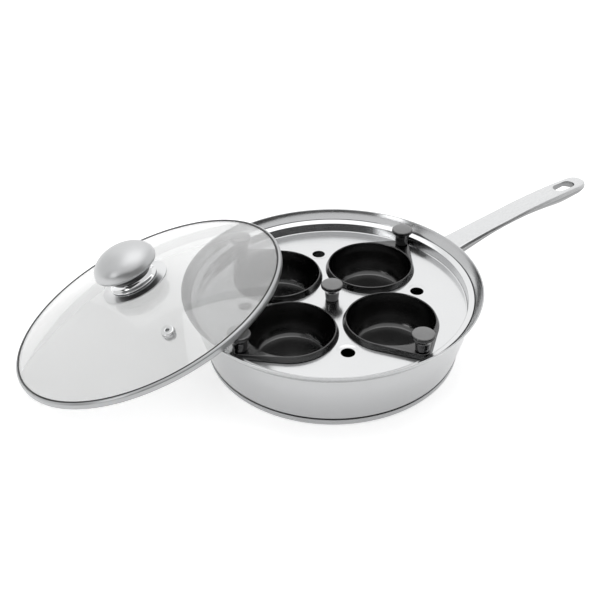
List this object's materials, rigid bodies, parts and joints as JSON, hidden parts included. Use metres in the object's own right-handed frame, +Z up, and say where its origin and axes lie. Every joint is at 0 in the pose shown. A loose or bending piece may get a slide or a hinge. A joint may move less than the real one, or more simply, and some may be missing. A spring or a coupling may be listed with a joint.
{
  "type": "egg poacher pan",
  "caption": "Steel egg poacher pan with a mirror tray, black non-stick cups with lifting knobs, a long steel handle and a domed glass lid leaning on its rim.",
  "frame": {"origin": "centre of the underside of the pan's base, on the pan's axis", "axes": "+Z up, handle along +X"},
  "size_m": [0.5387, 0.3305, 0.1012],
  "materials": {
    "steel": "satin polish",
    "polished_steel": "mirror polish",
    "brushed_steel": "fine brushed",
    "aluminium": "plain",
    "non_stick": "satin non-stick coating",
    "black_plastic": "satin",
    "silicone": "matt",
    "glass": "clear tempered"
  },
  "bodies": {
    "pan": {"pan_body": "steel", "base_core": "aluminium", "base_cap": "steel", "handle": "brushed_steel"},
    "tray": {"poaching_tray": "polished_steel", "centre_knob": "black_plastic", "centre_knob_screw": "steel"},
    "front_right_cup": {"egg_cup_front_right": "non_stick", "cup_knob_front_right": "black_plastic", "cup_screw_front_right": "steel"},
    "back_right_cup": {"egg_cup_back_right": "non_stick", "cup_knob_back_right": "black_plastic", "cup_screw_back_right": "steel"},
    "back_left_cup": {"egg_cup_back_left": "non_stick", "cup_knob_back_left": "black_plastic", "cup_screw_back_left": "steel"},
    "front_left_cup": {"egg_cup_front_left": "non_stick", "cup_knob_front_left": "black_plastic", "cup_screw_front_left": "steel"},
    "lid": {"lid_glass": "glass", "lid_band": "steel", "steam_vent": "polished_steel", "lid_knob_plate": "polished_steel", "lid_knob_collar": "polished_steel", "lid_knob_neck": "black_plastic", "lid_knob_cap": "brushed_steel", "lid_knob_washer": "silicone", "lid_knob_screw": "steel"}
  },
  "joints": [
    {"name": "tray_lift", "type": "slide", "parent": "pan", "child": "tray", "axis": [0, 0, 1], "range_m": [0, 0.1]},
    {"name": "front_right_cup_lift", "type": "slide", "parent": "tray", "child": "front_right_cup", "axis": [0, 0, 1], "range_m": [0, 0.08]},
    {"name": "back_right_cup_lift", "type": "slide", "parent": "tray", "child": "back_right_cup", "axis": [0, 0, 1], "range_m": [0, 0.08]},
    {"name": "back_left_cup_turn", "type": "hinge", "parent": "tray", "child": "back_left_cup", "pos_m": [-0.02124, 0.05419, 0.0472], "axis": [0, 0, 1], "range_deg": [0, 50]},
    {"name": "front_left_cup_turn", "type": "hinge", "parent": "tray", "child": "front_left_cup", "pos_m": [-0.05419, -0.02124, 0.0472], "axis": [0, 0, 1], "range_deg": [0, 50]},
    {"name": "lid_lift", "type": "slide", "parent": "tray", "child": "lid", "axis": [0, 0, 1], "range_m": [0, 0.12]}
  ]
}
